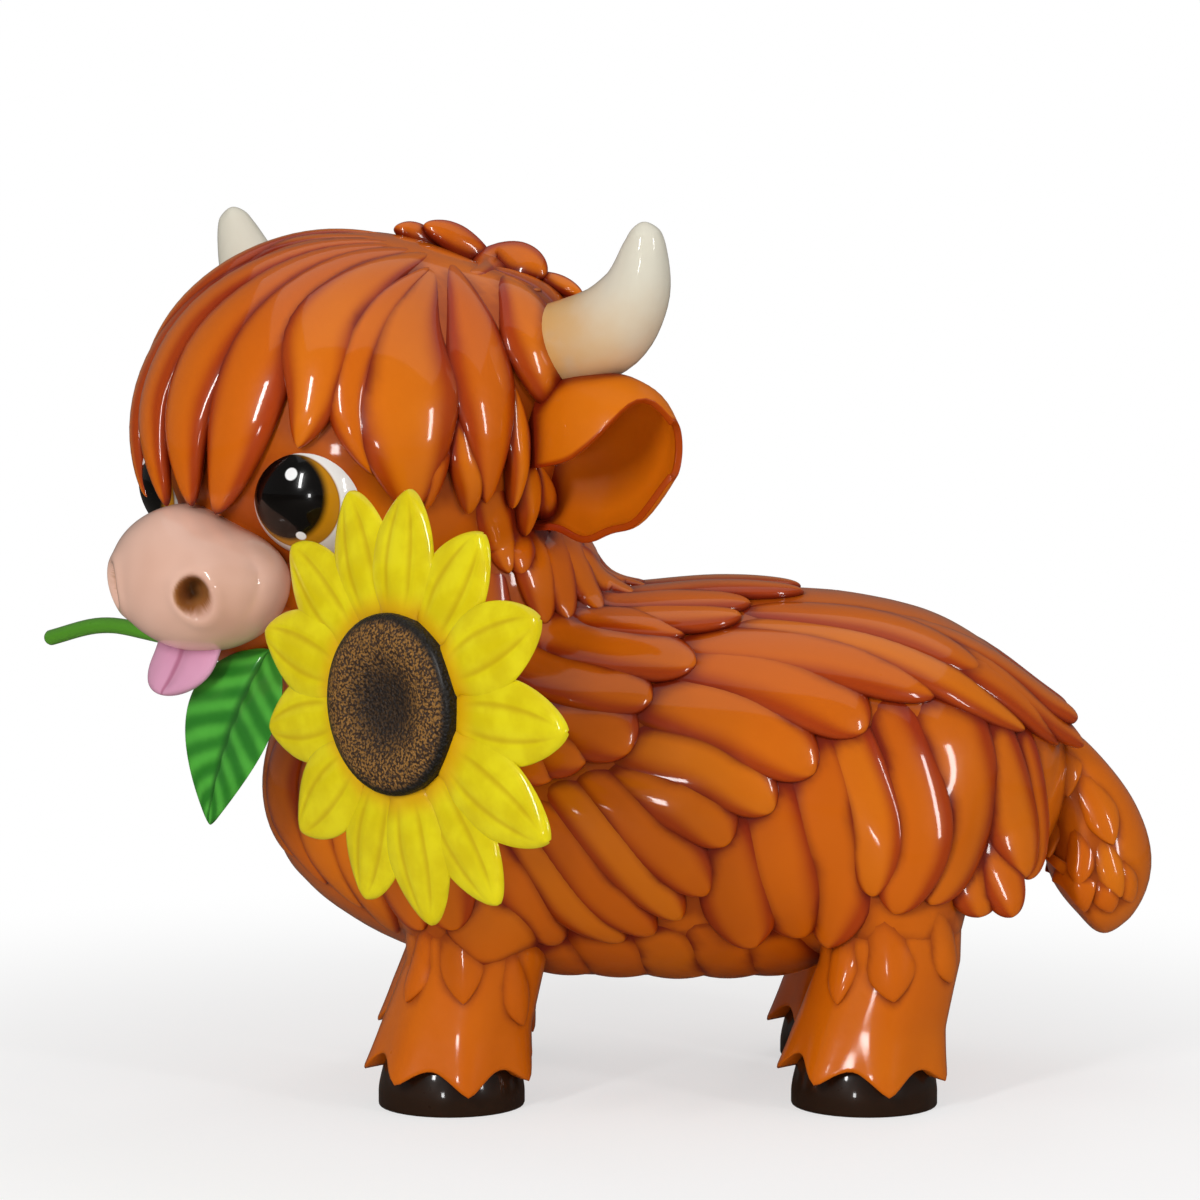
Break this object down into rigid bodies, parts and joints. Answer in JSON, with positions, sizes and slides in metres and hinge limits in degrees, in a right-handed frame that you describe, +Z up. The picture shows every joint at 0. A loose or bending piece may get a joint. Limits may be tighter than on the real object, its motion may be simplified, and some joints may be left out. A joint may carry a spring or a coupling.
{
  "type": "cow figurine",
  "caption": "Glossy moulded highland-style calf statue with a shaggy orange coat, curved pale horns and a sunflower held by its stem in the mouth.",
  "frame": {"origin": "middle of the footprint of the whole object, on the ground under the hooves", "axes": "+X toward the tail along the body, +Y toward the animal's right side, +Z up"},
  "size_m": [1.1294, 0.8058, 0.8819],
  "materials": {
    "coat_paint": "airbrushed orange with dark creases under clear gloss",
    "horn_paint": "cream with a tan root under clear gloss",
    "hoof_paint": "dark brown gloss",
    "muzzle_paint": "pink beige gloss",
    "tongue_paint": "pink gloss",
    "eye_gloss": "black with painted amber iris and white highlights under clear gloss",
    "leaf_paint": "green gloss",
    "petal_paint": "yellow gloss",
    "seed_paint": "dark brown with gold stipple",
    "frame_steel": "bare mild steel"
  },
  "bodies": {
    "root": {"body_left": "coat_paint", "body_right": "coat_paint", "flower_calyx": "leaf_paint", "flower_stem": "leaf_paint", "front_cross_tube": "frame_steel", "front_left_hoof": "hoof_paint", "front_left_leg": "coat_paint", "front_left_post": "frame_steel", "front_right_hoof": "hoof_paint", "front_right_leg": "coat_paint", "front_right_post": "frame_steel", "head": "coat_paint", "leaf": "leaf_paint", "left_ear": "coat_paint", "left_eye": "eye_gloss", "left_horn": "horn_paint", "muzzle": "muzzle_paint", "neck_post": "frame_steel", "petal_ring": "petal_paint", "rear_cross_tube": "frame_steel", "rear_left_hoof": "hoof_paint", "rear_left_leg": "coat_paint", "rear_left_post": "frame_steel", "rear_right_hoof": "hoof_paint", "rear_right_leg": "coat_paint", "rear_right_post": "frame_steel", "right_ear": "coat_paint", "right_eye": "eye_gloss", "right_horn": "horn_paint", "seed_head": "seed_paint", "spine_tube": "frame_steel", "stem_core_rod": "frame_steel", "tail": "coat_paint", "tongue": "tongue_paint"}
  },
  "joints": []
}
